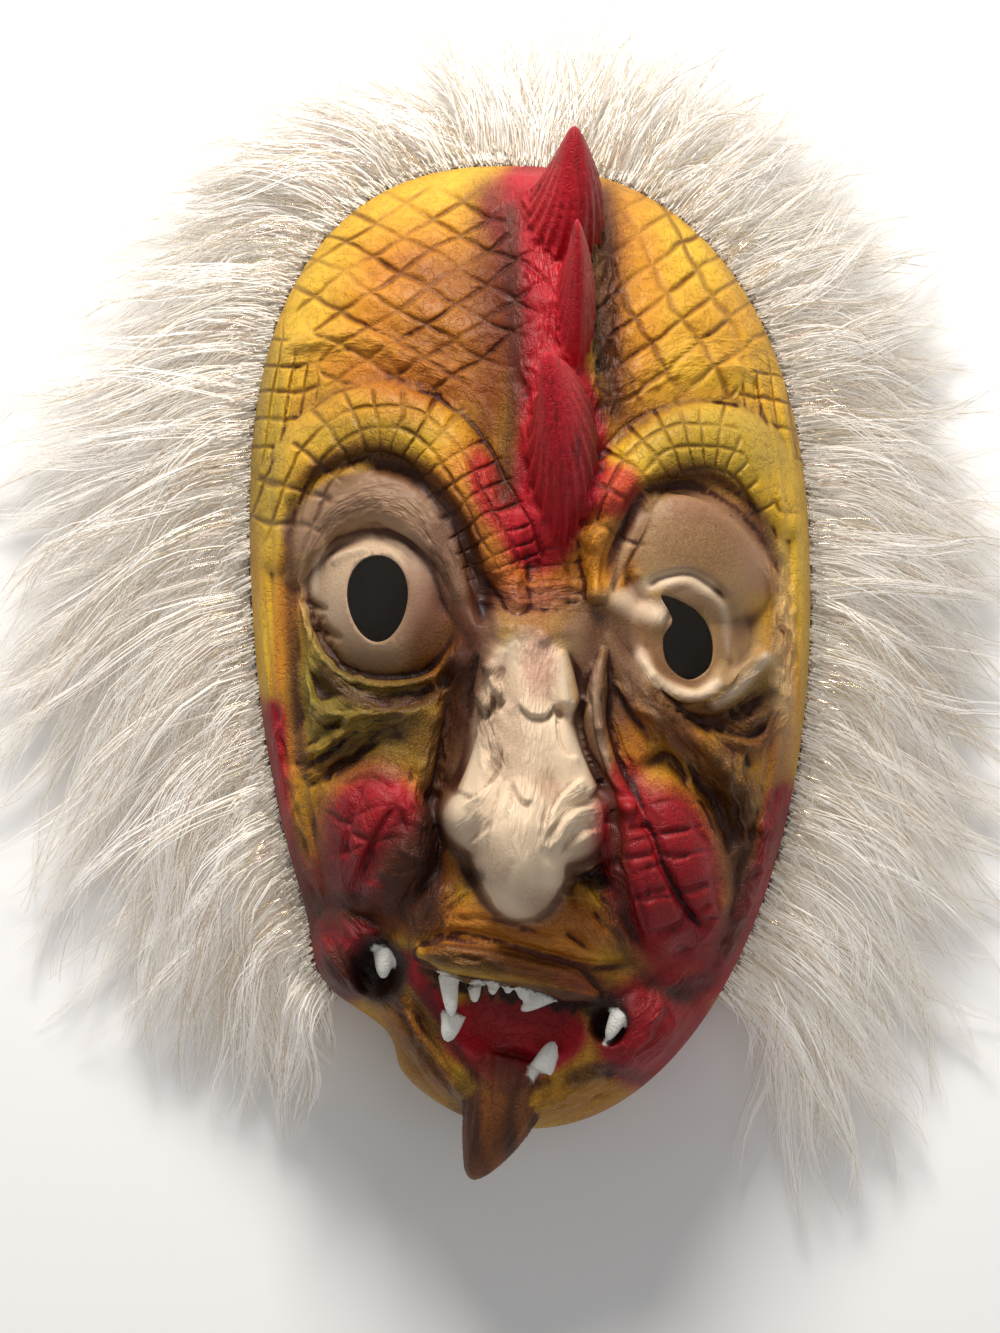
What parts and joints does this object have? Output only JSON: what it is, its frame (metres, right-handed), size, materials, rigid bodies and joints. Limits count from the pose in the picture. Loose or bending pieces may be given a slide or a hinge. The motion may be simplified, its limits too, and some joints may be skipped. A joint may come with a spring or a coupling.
{
  "type": "rooster mask",
  "caption": "Hollow latex face mask of a grotesque rooster with comb fins, wattles, teeth, a beak spur and long white fur round its edge.",
  "frame": {"origin": "centre of the bounding box on the plane of the mask's open rim, which it lies on", "axes": "+Z out of the face, +Y towards the crown, +X towards the viewer's right"},
  "size_m": [0.3681, 0.4492, 0.1471],
  "materials": {
    "latex": "airbrushed satin",
    "fur": "long pile with tinsel"
  },
  "bodies": {
    "root": {"latex_face": "latex", "fur_trim": "fur"}
  },
  "joints": []
}
